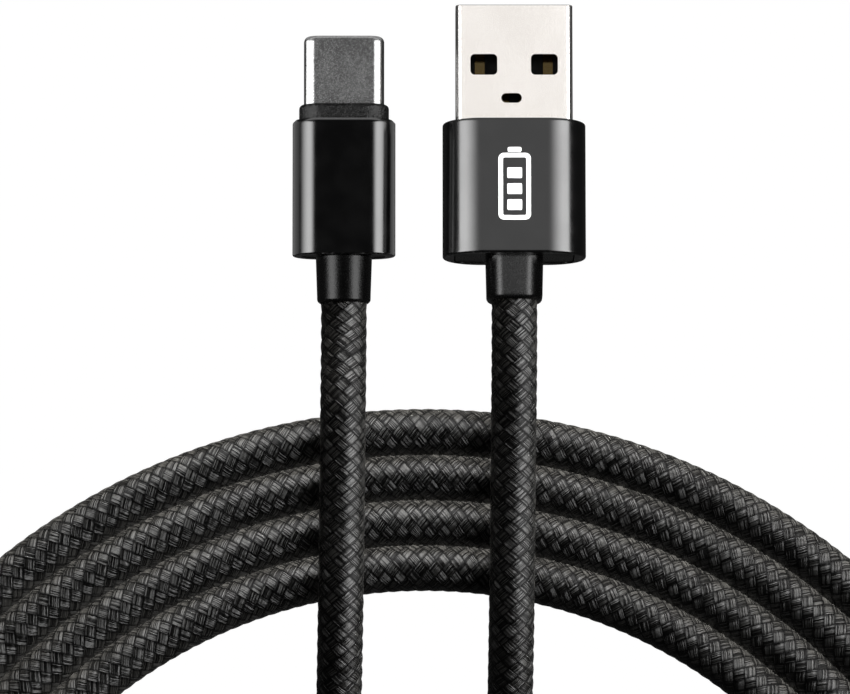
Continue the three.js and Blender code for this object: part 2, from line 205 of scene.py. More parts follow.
def oval_table(steps=7200):
    """Centre-line points of the outermost turn, one for each step of angle from its top."""
    angle = (np.arange(steps) + 0.5) * 2 * np.pi / steps
    side = smoothstep((np.abs(np.sin(angle)) - BEND_FROM) / (BEND_TO - BEND_FROM))
    stride = (WIDE_BEND + (TIGHT_BEND - WIDE_BEND) * side) * 2 * np.pi / steps
    x = COIL_TOP[0] - np.concatenate([[0], np.cumsum(stride * np.cos(angle))])
    y = COIL_TOP[1] - np.concatenate([[0], np.cumsum(stride * np.sin(angle))])
    return x, y


def coil_points(step=5):
    """The cord's way round the coil, from its innermost turn to its outermost."""
    table_x, table_y = oval_table()
    turned = np.arange(COIL_START, COIL_END + 0.1, step)
    changed = sum(smoothstep((turned - start) / LANE_CHANGE_TAKES) for start in LANE_CHANGES)
    around = turned % 360
    index = np.linspace(0, 360, len(table_x))
    angle = np.radians(around)
    inset = (COIL_TURNS - 1 - changed) * COIL_PITCH
    x = np.interp(around, index, table_x) + inset * np.sin(angle)
    y = np.interp(around, index, table_y) - inset * np.cos(angle)
    on_tie = smoothstep(2 - 2 * np.abs(around - TIE_ANGLE) / TIE_REACH)
    rise = smoothstep((turned - RISE_START) / RISE_TAKES) ** 1.2
    return list(zip(x, y, CORD_ON_FLOOR + TIE_THICKNESS * on_tie + RISE_HEIGHT * rise))


def through(points, step):
    """A smooth line through the points, in short even steps: a centripetal Catmull-Rom spline."""
    p = np.array(points, float)
    p = np.vstack([2 * p[0] - p[1], p, 2 * p[-1] - p[-2]])
    line = []
    for k in range(1, len(p) - 2):
        four = p[k - 1 : k + 3]
        t = np.concatenate([[0], np.cumsum(np.linalg.norm(np.diff(four, axis=0), axis=1) ** 0.5)])
        s = np.linspace(t[1], t[2], SPLINE_POINTS, endpoint=False)[:, None]
        a = [((t[i + 1] - s) * four[i] + (s - t[i]) * four[i + 1]) / (t[i + 1] - t[i]) for i in range(3)]
        b = [((t[i + 2] - s) * a[i] + (s - t[i]) * a[i + 1]) / (t[i + 2] - t[i]) for i in range(2)]
        line.append(((t[2] - s) * b[0] + (s - t[1]) * b[1]) / (t[2] - t[1]))
    return evenly(np.vstack(line + [p[-2:-1]]), step)


def evenly(line, step):
    """The same line with its points at even distances, close to the step."""
    along = np.concatenate([[0], np.cumsum(np.linalg.norm(np.diff(line, axis=0), axis=1))])
    at = np.linspace(0, along[-1], round(along[-1] / step) + 1)
    return np.stack([np.interp(at, along, line[:, k]) for k in range(3)], axis=1)


def smoothed(line):
    """Evens out the bends, but leaves both ends where they are."""
    reach = 3 * SMOOTHING
    kernel = np.exp(-0.5 * (np.arange(-reach, reach + 1) / SMOOTHING) ** 2)
    kernel /= kernel.sum()
    padded = np.pad(line, ((reach, reach), (0, 0)), mode="edge")
    even = np.stack([np.convolve(padded[:, k], kernel, mode="valid") for k in range(3)], axis=1)
    from_end = np.minimum(np.arange(len(line)), np.arange(len(line))[::-1])
    share = smoothstep((from_end - FIXED_END) / EASES_OVER)[:, None]
    return line * (1 - share) + even * share


def in_millimetres(point):
    return tuple(value / MM for value in point)


def cord_line(step):
    start = in_millimetres(PLUG_C @ Vector((0, C_RELIEF_END + CORD_START, 0)))
    end = in_millimetres(PLUG_A @ Vector((0, A_RELIEF_END + CORD_START, 0)))
    points = [start, *ROUTE_C, *INTO_COIL, *coil_points(), *OUT_OF_COIL, *ROUTE_A[::-1], end]
    return evenly(smoothed(through(points, SPLINE_STEP)), step)


def transported(line):
    """A sideways and an upward direction for each point of a line, which turn as little as they can."""
    ahead = np.gradient(line, axis=0)
    ahead /= np.linalg.norm(ahead, axis=1)[:, None]
    side = np.empty_like(line)
    side[0] = np.cross(ahead[0], (0, 0, 1))
    for k in range(len(line)):
        before = side[max(k - 1, 0)]
        flat = before - ahead[k] * (before @ ahead[k])
        side[k] = flat / np.linalg.norm(flat)
    return side, np.cross(side, ahead)


# The braid has as many strands one way round as the other, each under and over one strand at a time.
STRANDS = 8
STRAND_LENGTH = 1.46  # the cord's length that one crossing takes
CROSSING_STEPS = 4  # mesh steps to a crossing, both along the cord and round it
PILLOW = 0.11  # how far a strand's middle stands out over its crossings
YARNS = 13  # side by side in a strand
BRAID_UV = "braid"


def braid_height(u, v):
    """From 0 in the gaps to 1 on the crown of a strand that lies on top."""
    across_u, across_v = np.sin(np.pi * (u % 1)), np.sin(np.pi * (v % 1))
    first_on_top = (np.floor(u + 1e-6) + np.floor(v + 1e-6)) % 2 < 1
    across = np.clip(np.where(first_on_top, across_u, across_v), 0, 1)
    along = np.clip(np.where(first_on_top, across_v, across_u), 0, 1)
    return across**0.4 * along**0.5


def tube_mesh(name, rings, corners):
    """A closed tube from rings of points, in metres, with a UV map from its faces' corners."""
    count, around = rings.shape[:2]
    mesh = bpy.data.meshes.new(name)
    ring = np.arange(count - 1)[:, None] * around
    here = np.arange(around)[None, :]
    nearby = (here + 1) % around
    quads = np.stack([ring + here, ring + nearby, ring + around + nearby, ring + around + here], axis=-1)
    ends = [np.arange(around)[::-1], np.arange(around) + (count - 1) * around]
    loops = np.concatenate([quads.reshape(-1), *ends])
    starts = np.concatenate([np.arange(0, quads.size, 4), [quads.size, quads.size + around]])
    mesh.vertices.add(count * around)
    mesh.vertices.foreach_set("co", rings.astype(np.float32).ravel())
    mesh.loops.add(len(loops))
    mesh.loops.foreach_set("vertex_index", loops)
    mesh.polygons.add(len(starts))
    mesh.polygons.foreach_set("loop_start", starts)
    mesh.polygons.foreach_set("use_smooth", np.ones(len(starts), bool))
    layer = mesh.uv_layers.new(name=BRAID_UV)
    values = np.zeros((len(loops), 2), np.float32)
    values[: quads.size] = corners.reshape(-1, 2)
    layer.data.foreach_set("uv", values.ravel())
    mesh.update(calc_edges=True)
    mesh.validate()
    return mesh


def make_cord():
    """u counts the strands that wind one way round the cord, and v those that wind the other way."""
    line = cord_line(STRAND_LENGTH / CROSSING_STEPS)
    step = np.linalg.norm(np.diff(line, axis=0), axis=1).mean()
    side, up = transported(line)
    a = np.arange(STRANDS * CROSSING_STEPS + 1) / CROSSING_STEPS
    b = np.arange(len(line)) * step / STRAND_LENGTH
    b = np.round(b * CROSSING_STEPS) / CROSSING_STEPS
    u, v = a[None, :] + b[:, None], a[None, :] - b[:, None] + math.ceil(b[-1])
    turn = 2 * np.pi * a / STRANDS
    along = np.arange(len(line)) * step
    from_end = np.minimum(along, along[-1] - along)
    wound = smoothstep((from_end - LEAD_LENGTH) / WIDENS_OVER)[:, None]
    diameter = CORD_DIAMETER + (COIL_DIAMETER - CORD_DIAMETER) * wound
    radius = diameter / 2 - PILLOW * (1 - braid_height(u, v))
    out = np.cos(turn)[None, :, None] * side[:, None] + np.sin(turn)[None, :, None] * up[:, None]
    rings = (line[:, None] + radius[..., None] * out) * MM
    at = np.stack([u, v], axis=-1)
    corners = np.stack([at[:-1, :-1], at[:-1, 1:], at[1:, 1:], at[1:, :-1]], axis=2)
    mesh = tube_mesh("braided_cord", rings[:, :-1], corners)
    cord = bpy.data.objects.new("braided_cord", mesh)
    bpy.context.scene.collection.objects.link(cord)
    return cord, line


cord, cord_path = make_cord()

# ---------------------------------------------------------------- sizes of the plugs' pieces
# In a plug's own millimetres. A place along y is named by what it is, such as tip, tail or rear.
A_SHELL = {"width": 12, "height": 4.5, "radius": 0.6, "wall": 0.3, "tip": 12.15, "tail": -5.6}
A_WINDOW = {"width": 2.75, "length": 2.16, "radius": 0.45, "x": 3.1, "from_tip": 6.28}
A_OVAL = {"width": 2.1, "length": 1.0, "x": -0.27, "from_tip": 9.78}
A_SEAM = {"gap": 0.05, "sideways": 1.3, "front": 7, "rear": 4}
A_HOUSING = {"width": 14.67, "height": 8.2, "radius": 4, "length": 13.95}
A_BORE = {"width": 12.24, "height": 5.7, "radius": 1}
A_RELIEF = {"width": 5.9, "height": 5.65, "radius": 1.8, "edge": 0.55}
A_RELIEF_TAPER = (0.16, 0.1)
C_SHELL = {"width": 8.25, "height": 2.4, "radius": 1.2, "wall": 0.3, "tip": 8.72, "tail": -4.5}
C_NOSE = {"length": 0.62, "sideways": 0.62, "thickness": 0.24, "steps": 8}  # how far the drawn tip turns in
C_MOUTH = {"width": 6.65, "height": 1.56, "depth": 0.1}
C_COLLAR = {"width": 9.23, "height": 5.3, "radius": 2.65, "front": 1.62, "spigot": -2.15, "edge": 0.42}
C_HOUSING = {"width": 10.57, "height": 6.7, "length": 14, "chamfer": 0.3, "edge": 0.2}
C_HOUSING_CROWN = 2.72  # the housing's top is a little flatter than a half circle
C_BORE = {"width": 8.72, "height": 4.84, "radius": 2.42}
C_BORE_MOUTH = 0.1
C_RELIEF = {"start": 2.885, "end": 2.75, "neck": 2.3, "edge": 0.4}  # radii, and the rounding of the free end
END_PLATE = {"front": 0.9, "rear": 0.1, "edge": 0.12, "neck": 0.45}  # from a housing's rear forwards
RECESS = {"diameter": 4.8, "depth": 2.3, "edge": 0.12}  # in a strain relief's end, for the cord
MARK_AREA = {"y": -7.15, "width": 3.3, "length": 6.9, "line": 0.46, "radius": 0.55, "inner_radius": 0.2}
MARK_BAR = {"width": 1.5, "length": 1.1, "radius": 0.12, "places": (-1.9, -0.25, 1.4)}
MARK_TERMINAL = {"width": 1.4, "length": 0.5, "radius": 0.16, "beyond": 0.36}
MARK_SUNK, MARK_THICKNESS = 0.02, 0.012
GAP = 0.05
THROUGH, PAST_END = 9, 20  # how far a cutter reaches out of a plug's faces and ends
FINE, FINER, FINEST = 14, 16, 24  # points to a quarter turn
SMALLEST_RADIUS = 0.02
EDGE_STEPS = 4
SUPPORT_RING = 1.6  # of an edge's radius

# ---------------------------------------------------------------- materials
def principled(name, **settings):
    """A material, its node tree and its shader, with sockets set by name, where _ stands for a space."""
    made = bpy.data.materials.new(name)
    made.use_nodes = True
    shader = made.node_tree.nodes["Principled BSDF"]
    for socket, value in settings.items():
        shader.inputs[socket.replace("_", " ")].default_value = value
    return made, made.node_tree, shader


def node(tree, kind, *inputs, **settings):
    """A shader node with its inputs in order: each is a number, a colour, an output to link, or None."""
    made = tree.nodes.new("ShaderNode" + kind)
    for key, value in settings.items():
        setattr(made, key, value)
    for socket, value in zip(made.inputs, inputs):
        if isinstance(value, bpy.types.NodeSocket):
            tree.links.new(value, socket)
        elif value is not None:
            socket.default_value = value
    return made


def maths(tree, operation, *inputs):
    return node(tree, "Math", *inputs, operation=operation).outputs[0]


def times(tree, first, second):
    return maths(tree, "MULTIPLY", first, second)


def plus(tree, first, second):
    return maths(tree, "ADD", first, second)


def ramp(tree, value, low, high, to_low=0.0, to_high=1.0):
    """A number carried smoothly from one range to another."""
    limits = (low, high, to_low, to_high)
    return node(tree, "MapRange", value, *limits, interpolation_type="SMOOTHSTEP").outputs[0]


def blend_colour(tree, share, first, second):
    """From the first colour to the second as the share, an output, goes from 0 to 1."""
    mix = tree.nodes.new("ShaderNodeMix")
    mix.data_type = "RGBA"
    share_in, first_in, second_in = mix.inputs[0], mix.inputs[6], mix.inputs[7]
    tree.links.new(share, share_in)
    first_in.default_value = (*first, 1)
    second_in.default_value = (*second, 1)
    return mix.outputs[2]


def place(tree, stretch=(1, 1, 1)):
    """The point on the surface in the piece's own metres, stretched."""
    coordinates = node(tree, "TexCoord").outputs["Object"]
    return node(tree, "VectorMath", coordinates, stretch, operation="MULTIPLY").outputs[0]


def noise(tree, vector, scale, detail=3.0, roughness=0.5):
    made = node(tree, "TexNoise")
    tree.links.new(vector, made.inputs["Vector"])
    made.inputs["Scale"].default_value = scale
    made.inputs["Detail"].default_value = detail
    made.inputs["Roughness"].default_value = roughness
    return made.outputs[0]


def bump(tree, shader, height, strength, depth):
    """Depth is in metres."""
    made = node(tree, "Bump")
    made.inputs["Strength"].default_value = strength
    made.inputs["Distance"].default_value = depth
    tree.links.new(height, made.inputs["Height"])
    tree.links.new(made.outputs[0], shader.inputs["Normal"])


def grained(name, dark, light, rough, grain, depth, stretch=(1, 1, 1), **settings):
    """A surface of fine grain that changes colour, gloss and height a little. Grain is in millimetres."""
    made, tree, shader = principled(name, **settings)
    fine = noise(tree, place(tree, stretch), 1 / (grain * MM), 4.0, 0.6)
    broad = noise(tree, place(tree), 1 / (4 * MM), 3.0)
    spread = plus(tree, times(tree, fine, 0.7), times(tree, broad, 0.3))
    colour = blend_colour(tree, ramp(tree, spread, 0.35, 0.65), dark, light)
    tree.links.new(colour, shader.inputs["Base Color"])
    tree.links.new(ramp(tree, spread, 0.3, 0.7, *rough), shader.inputs["Roughness"])
    bump(tree, shader, fine, 1.0, depth)
    return made


def grey(value):
    return (value, value, value)


def braid_material():
    """Flat strands of fine black yarns. Painted shade darkens the colour and the specular tint where a strand
    dips under the next. Each yarn's crown has a painted highlight, and each yarn has a random tone.
    """
    made, tree, shader = principled("braid", Specular_IOR_Level=1.0, Anisotropic=0.7)
    crossing = node(tree, "UVMap", uv_map=BRAID_UV).outputs[0]
    split = node(tree, "SeparateXYZ", crossing)
    u, v = split.outputs[0], split.outputs[1]
    fract_u, fract_v = maths(tree, "FRACT", u), maths(tree, "FRACT", v)
    floor_u, floor_v = maths(tree, "FLOOR", u), maths(tree, "FLOOR", v)
    odd = maths(tree, "FLOORED_MODULO", plus(tree, floor_u, floor_v), 2.0)
    even = maths(tree, "SUBTRACT", 1.0, odd)

    def on_top(first, second):
        """What belongs to the strand on top: the first where the crossing is even, or else the second."""
        return plus(tree, times(tree, first, even), times(tree, second, odd))

    def from_edge(fract):
        return maths(tree, "MINIMUM", fract, maths(tree, "SUBTRACT", 1.0, fract))

    across, along = on_top(fract_u, fract_v), on_top(fract_v, fract_u)
    seed = plus(tree, times(tree, floor_u, 7.3), times(tree, floor_v, 3.1))
    wander_at = node(tree, "CombineXYZ", times(tree, across, 3.0), times(tree, along, 2.0), seed)
    wander = noise(tree, wander_at.outputs[0], 1.0, 2.0)
    yarn = plus(tree, times(tree, across, float(YARNS)), times(tree, wander, 1.6))
    crown = maths(tree, "SINE", times(tree, maths(tree, "FRACT", yarn), math.pi))
    strand = node(tree, "CombineXYZ", floor_u, floor_v, maths(tree, "FLOOR", yarn)).outputs[0]
    chance = node(tree, "TexWhiteNoise", strand, noise_dimensions="3D").outputs[0]
    # side and end fall off towards a strand's edges and ends. As bump height they shape the strand. In the
    # base colour and the specular tint they are painted shade in the gaps where a strand dips under the next.
    side = ramp(tree, from_edge(across), 0.0, 0.08, 0.12)
    end = ramp(tree, from_edge(along), 0.0, 0.25, 0.08)
    raised_and_painted_gap_shade = times(tree, side, end)
    # Each yarn's crown is painted lighter as a painted highlight, and each yarn gets a random tone.
    painted_crown_highlight_and_tone = times(tree, ramp(tree, crown, 0.1, 0.9, 0.12, 1.0), ramp(tree, chance, 0.2, 1.0, 0.1, 1.0))
    painted_light_and_tone = times(tree, raised_and_painted_gap_shade, painted_crown_highlight_and_tone)
    # Base colour and specular tint both carry the painted shade in the gaps, the painted highlights on the
    # yarn crowns, and each yarn's random tone.
    tree.links.new(blend_colour(tree, painted_light_and_tone, grey(0.0005), (0.011, 0.0107, 0.01)), shader.inputs["Base Color"])
    tree.links.new(blend_colour(tree, painted_light_and_tone, grey(0.05), grey(1.0)), shader.inputs["Specular Tint"])
    tree.links.new(ramp(tree, chance, 0.0, 1.0, 0.26, 0.34), shader.inputs["Roughness"])
    # Yarns spread a highlight across themselves, so it is turned to lie across the strand on top.
    tangent = node(tree, "Tangent", direction_type="UV_MAP", uv_map=BRAID_UV).outputs[0]
    tree.links.new(tangent, shader.inputs["Tangent"])
    tree.links.new(times(tree, odd, 0.25), shader.inputs["Anisotropic Rotation"])
    height = plus(tree, times(tree, crown, ramp(tree, chance, 0.0, 1.0, 0.15, 0.45)), raised_and_painted_gap_shade)
    bump(tree, shader, height, 1.0, 0.026 * MM)
    return made


def housing_material():
    """Black anodised aluminium, bead blasted, a little worn here and there along the rims of both ends."""
    made, tree, shader = principled("anodised_housing", IOR=1.62)
    grain = noise(tree, place(tree), 1 / (0.07 * MM), 3.0)
    broad = noise(tree, place(tree), 1 / (3 * MM), 2.0)
    along = node(tree, "SeparateXYZ", place(tree)).outputs[1]
    from_middle = maths(tree, "ABSOLUTE", plus(tree, along, C_HOUSING["length"] / 2 * MM))
    rim = ramp(tree, from_middle, 6.86 * MM, 6.97 * MM)
    worn = times(tree, rim, ramp(tree, noise(tree, place(tree), 1 / (0.5 * MM)), 0.5, 0.75))
    colour = blend_colour(tree, worn, (0.0006, 0.0006, 0.00065), grey(0.05))
    tree.links.new(colour, shader.inputs["Base Color"])
    tree.links.new(ramp(tree, broad, 0.3, 0.7, 0.17, 0.22), shader.inputs["Roughness"])
    bump(tree, shader, grain, 0.6, 0.0015 * MM)
    return made


def board_material():
    made, tree, shader = principled("circuit_board", Roughness=0.35)
    weave = node(tree, "TexBrick", place(tree, (900, 900, 900)))
    speckle = noise(tree, place(tree), 1 / (0.3 * MM))
    colour = blend_colour(tree, speckle, (0.01, 0.09, 0.04), (0.02, 0.16, 0.08))
    tree.links.new(colour, shader.inputs["Base Color"])
    bump(tree, shader, weave.outputs["Fac"], 0.3, 0.01 * MM)
    return made


def tie_material():
    """Hook-and-loop fabric: a fuzz of fine loops over a ribbed band."""
    made, tree, shader = principled("tie_fabric", Roughness=0.85, Sheen_Weight=0.03, Sheen_Roughness=0.35)
    fuzz = noise(tree, place(tree), 1 / (0.16 * MM), 6.0, 0.75)
    cells = node(tree, "TexVoronoi", place(tree))
    cells.inputs["Scale"].default_value = 1 / (0.35 * MM)
    loops = maths(tree, "SUBTRACT", 1.0, cells.outputs["Distance"])
    height = plus(tree, times(tree, fuzz, 0.6), times(tree, loops, 0.6))
    colour = blend_colour(tree, ramp(tree, height, 0.5, 0.95), grey(0.001), grey(0.009))
    tree.links.new(colour, shader.inputs["Base Color"])
    bump(tree, shader, height, 1.0, 0.12 * MM)
    return made


def wire_material(colour, dark, light):
    return grained("wire_" + colour, dark, light, (0.35, 0.5), 0.2, 0.004 * MM)


LENGTHWISE, BRUSHED, DRAWN = (1, 0.3, 1), (1, 0.15, 1), (1, 0.1, 1)  # how a metal's grain is stretched
SHELL_DARK, SHELL_LIGHT = (0.9, 0.88, 0.86), (0.94, 0.925, 0.91)
GOLD_DARK, GOLD_LIGHT = (0.75, 0.52, 0.2), (0.9, 0.68, 0.32)

MATERIALS = {
    "plated_shell": grained("plated_shell", SHELL_DARK, SHELL_LIGHT, (0.15, 0.19), 0.12, 0.0004 * MM,
                            LENGTHWISE, Metallic=1.0),
    "satin_shell": grained("satin_shell", grey(0.42), grey(0.8), (0.18, 0.26), 0.14, 0.006 * MM,
                           Metallic=1.0),
    "anodised_housing": housing_material(),
    "insulator": grained("insulator", grey(0.003), grey(0.006), (0.35, 0.5), 0.15, 0.004 * MM),
    "gold_contact": grained("gold_contact", GOLD_DARK, GOLD_LIGHT, (0.08, 0.14), 0.06, 0.001 * MM,
                            DRAWN, Metallic=1.0),
    "spring_steel": grained("spring_steel", grey(0.5), grey(0.62), (0.25, 0.38), 0.08, 0.002 * MM,
                            BRUSHED, Metallic=1.0),
    "circuit_board": board_material(),
    "resistor": grained("resistor", grey(0.003), grey(0.008), (0.4, 0.55), 0.1, 0.003 * MM),
    "inner_mould": grained("inner_mould", grey(0.003), grey(0.007), (0.5, 0.65), 0.2, 0.01 * MM),
    "collar_plastic": grained("collar_plastic", grey(0.0003), grey(0.02), (0.16, 0.3), 0.34, 0.15 * MM),
    "relief_plastic": grained("relief_plastic", grey(0.0005), grey(0.0016), (0.22, 0.3), 0.18, 0.014 * MM),
    "braid": braid_material(),
    "tie_fabric": tie_material(),
    "wire_red": wire_material("red", (0.42, 0.02, 0.02), (0.5, 0.035, 0.03)),
    "wire_green": wire_material("green", (0.02, 0.22, 0.06), (0.03, 0.28, 0.08)),
    "wire_white": wire_material("white", grey(0.68), grey(0.76)),
    "wire_black": wire_material("black", grey(0.004), grey(0.008)),
}
MARK = grained("mark_print", grey(0.82), grey(0.9), (0.45, 0.55), 0.12, 0.002 * MM)
CAD_BEVEL = 0.04 * MM


def finish_cad_nodes():
    """The CAD nodes that stay get their finish and softened edges."""
    for part in frame["record"]["subparts"]:
        made = frame["nodes"][part["node"]]
        made.data.materials.clear()
        made.data.materials.append(MATERIALS[part["material_slot"]])
        bevel = made.modifiers.new("edges", "BEVEL")
        bevel.width = CAD_BEVEL
        bevel.segments = 2
        bevel.limit_method = "ANGLE"
        bevel.angle_limit = math.radians(40)
        bevel.harden_normals = False


finish_cad_nodes()

# ---------------------------------------------------------------- pieces of the plugs
SHARP = math.radians(32)


def outline(width, height, radius_x, radius_z=None, x=0.0, z=0.0, corner=12, flat=2):
    """A rounded rectangle's points in a plug's x-z section, anticlockwise from its right side. corner is the
    number of points to a quarter turn, and flat the number of spans along the top and the bottom."""
    radius_z = radius_x if radius_z is None else radius_z
    right, top = width / 2 - radius_x, height / 2 - radius_z
    points = []
    for quarter, (sx, sz) in enumerate(((1, 1), (-1, 1), (-1, -1), (1, -1))):
        for k in range(corner + 1):
            angle = (quarter + k / corner) * math.pi / 2
            out_x, out_z = radius_x * math.cos(angle), radius_z * math.sin(angle)
            points.append((x + sx * right + out_x, z + sz * top + out_z))
        if quarter % 2 == 0:
            for k in range(1, flat):
                points.append((x + sx * right * (1 - 2 * k / flat), z + sz * height / 2))
    return points


def bridge(built, loops, closed=False):
    """Faces from each loop of vertices to the next. A closed row of loops joins up, and an open one gets two
    end faces."""
    for first, second in zip(loops, loops[1:] + (loops[:1] if closed else [])):
        for k in range(len(first)):
            after = (k + 1) % len(first)
            built.faces.new((first[k], first[after], second[after], second[k]))
    if not closed:
        built.faces.new(loops[0][::-1])
        built.faces.new(loops[-1])
    bmesh.ops.remove_doubles(built, verts=built.verts, dist=1e-4)
    bmesh.ops.recalc_face_normals(built, faces=built.faces)
    return built


def ring_solid(rings, closed=False):
    """A mesh through rings of (outline, y), from the front to the rear. A closed one is a sleeve."""
    built = bmesh.new()
    loops = [[built.verts.new((px, y, pz)) for px, pz in points] for points, y in rings]
    return bridge(built, loops, closed)


def rounded_end(size, y, inward, radius, inside=False):
    """The rings of a rounded edge. size(inset) gives the outline, and inward is the way along y into the
    piece. One more ring beyond the edge keeps the long faces after it flat in the shading."""
    rings = []
    for k in range(EDGE_STEPS + 1):
        angle = k / EDGE_STEPS * math.pi / 2
        rings.append((size(radius * (1 - math.sin(angle))), y + inward * radius * (1 - math.cos(angle))))
    rings.append((size(0), y + inward * radius * SUPPORT_RING))
    return rings[::-1] if inside else rings


def sized(width, height, radius_x, radius_z=None, **rest):
    """An outline as a function of how far in from its full size it lies."""
    radii = (radius_x, radius_x if radius_z is None else radius_z)

    def at(inset):
        smaller = [max(radius - inset, SMALLEST_RADIUS) for radius in radii]
        return outline(width - 2 * inset, height - 2 * inset, *smaller, **rest)

    return at


def within(shape, gap=0.0, **rest):
    """The outline of a named shape, smaller by the gap all round."""
    return sized(shape["width"] - 2 * gap, shape["height"] - 2 * gap, shape["radius"] - gap, **rest)


def circle(radius, **rest):
    return sized(2 * radius, 2 * radius, radius, **rest)


def widening(size):
    """The same outline, but an inset makes it larger, as the edge of a bore needs."""
    def at(inset):
        return size(-inset)

    return at


def sleeve(outer, bore, front, rear, edge, bore_edge):
    """A tube of one outline with a bore of another, all four of its edges rounded."""
    hole = widening(bore)
    rings = rounded_end(outer, front, -1, edge) + rounded_end(outer, rear, 1, edge, inside=True)
    rings += rounded_end(hole, rear, 1, bore_edge) + rounded_end(hole, front, -1, bore_edge, inside=True)
    return ring_solid(rings, closed=True)


def block(low, high, radius=0.001):
    """A block between two corners, its upright edges rounded."""
    (x0, y0, z0), (x1, y1, z1) = low, high
    points = outline(x1 - x0, y1 - y0, radius, x=(x0 + x1) / 2, z=(y0 + y1) / 2, corner=6)
    built = bmesh.new()
    return bridge(built, [[built.verts.new((px, py, level)) for px, py in points] for level in (z0, z1)])


def block_at(x, y, shape, low, high, radius):
    """A block about a place in x and y, as wide and long as the shape."""
    half_width, half_length = shape["width"] / 2, shape["length"] / 2
    return block((x - half_width, y - half_length, low), (x + half_width, y + half_length, high), radius)


def object_of(name, built):
    mesh = bpy.data.meshes.new(name)
    built.to_mesh(mesh)
    built.free()
    made = bpy.data.objects.new(name, mesh)
    bpy.context.scene.collection.objects.link(made)
    return made


def apply_modifiers(made):
    graph = bpy.context.evaluated_depsgraph_get()
    mesh = bpy.data.meshes.new_from_object(made.evaluated_get(graph))
    made.modifiers.clear()
    made.data = mesh


def combined(made, others, operation):
    for other in others:
        tool = object_of("tool", other)
        step = made.modifiers.new("join", "BOOLEAN")
        step.operation = operation
        step.solver = "EXACT"
        step.object = tool
        apply_modifiers(made)
        bpy.data.objects.remove(tool)


def settle(made, plug, slot, *nodes, material=None):
    """Turns a piece from a plug's millimetres to metres, puts it in its place and gives it its finish."""
    made.data.transform(Matrix.Scale(MM, 4))
    made.matrix_world = plug @ Matrix.Scale(1 / MM, 4)
    built = bmesh.new()
    built.from_mesh(made.data)
    for face in built.faces:
        face.smooth = True
    for edge in built.edges:
        edge.smooth = not edge.is_manifold or edge.calc_face_angle(0.0) < SHARP
    built.to_mesh(made.data)
    built.free()
    made.data.materials.clear()
    made.data.materials.append(material or MATERIALS[slot])
    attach(made, "cable")
    if nodes:
        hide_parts(*nodes)
    return made


def seam_cutters():
    """The folded seam along the middle of the underside, with its one dovetail."""
    gap, sideways, front, rear = (A_SEAM[key] for key in ("gap", "sideways", "front", "rear"))
    return [
        block((-gap / 2, front, -THROUGH), (gap / 2, PAST_END, 0)),
        block((-sideways, front - gap, -THROUGH), (gap / 2, front, 0)),
        block((-sideways, rear, -THROUGH), (gap - sideways, front, 0)),
        block((-sideways, rear - gap, -THROUGH), (gap / 2, rear, 0)),
        block((-gap / 2, -PAST_END, -THROUGH), (gap / 2, rear, 0)),
    ]


def usb_a_shell():
    s = A_SHELL
    tube = sleeve(within(s), within(s, s["wall"]), s["tip"], s["tail"], 0.13, 0.1)
    made = object_of("usb_a_plug_shell", tube)
    window_y, oval_y = s["tip"] - A_WINDOW["from_tip"], s["tip"] - A_OVAL["from_tip"]
    windows = [block_at(x, window_y, A_WINDOW, -THROUGH, THROUGH, A_WINDOW["radius"])
               for x in (-A_WINDOW["x"], A_WINDOW["x"])]
    oval = block_at(A_OVAL["x"], oval_y, A_OVAL, 0, THROUGH, A_OVAL["length"] / 2 - 0.01)
    combined(made, [*windows, oval, *seam_cutters()], "DIFFERENCE")
    return settle(made, PLUG_A, "plated_shell", "usb_a_shell")


def usb_a_housing():
    outer, bore = within(A_HOUSING, corner=FINEST), within(A_BORE, corner=FINEST)
    made = object_of("usb_a_plug_housing", sleeve(outer, bore, 0, -A_HOUSING["length"], 0.22, 0.12))
    return settle(made, PLUG_A, "anodised_housing", "usb_a_housing")


def relief_end(size, end, edge, **rest):
    """The rings of a strain relief's free end, and of the recess in it that the cord goes into."""
    recess = circle(RECESS["diameter"] / 2, **rest)
    rings = rounded_end(size, end, 1, edge, inside=True)
    rings += rounded_end(widening(recess), end, 1, RECESS["edge"])
    return rings + [(recess(0), end + RECESS["depth"])]


def end_plate(bore, rear, **rest):
    """The plate that closes the back of a housing."""
    plate = within(bore, GAP, **rest)
    rings = [(plate(0), rear + END_PLATE["front"])]
    return ring_solid(rings + rounded_end(plate, rear + END_PLATE["rear"], 1, END_PLATE["edge"], inside=True))


def usb_a_strain_relief():
    r, rear = A_RELIEF, -A_HOUSING["length"]
    narrower, thinner = A_RELIEF_TAPER
    at_housing = within(r)(0)
    at_end = sized(r["width"] - narrower, r["height"] - thinner, r["radius"])
    rings = [(at_housing, rear + END_PLATE["neck"]), (at_housing, rear - 0.2)]
    rings += relief_end(at_end, A_RELIEF_END, r["edge"])
    made = object_of("usb_a_plug_strain_relief", ring_solid(rings))
    combined(made, [end_plate(A_BORE, rear)], "UNION")
    return settle(made, PLUG_A, "relief_plastic", "usb_a_strain_relief")


def usb_c_shell():
    s, nose, mouth = C_SHELL, C_NOSE, C_MOUTH
    outer, bore = within(s, corner=FINER)(0), within(s, s["wall"], corner=FINER)(0)
    rings = []
    for k in range(nose["steps"] + 1):
        angle = k / nose["steps"] * math.pi / 2
        drawn = 1 - math.sin(angle)
        width, height = s["width"] - 2 * nose["sideways"] * drawn, s["height"] - 2 * nose["thickness"] * drawn
        section = outline(width, height, height / 2, corner=FINER)
        rings.append((section, s["tip"] - nose["length"] * (1 - math.cos(angle))))
    behind_nose = s["tip"] - nose["length"]
    rings += [(outer, behind_nose - 0.2), (outer, s["tail"] + 0.1), (outer, s["tail"])]
    rings += [(bore, s["tail"]), (bore, behind_nose)]
    opening = outline(mouth["width"], mouth["height"], mouth["height"] / 2, corner=FINER)
    rings.append((opening, s["tip"] - mouth["depth"]))
    made = object_of("usb_c_plug_shell", ring_solid(rings, closed=True))
    return settle(made, PLUG_C, "satin_shell", "usb_c_shell")


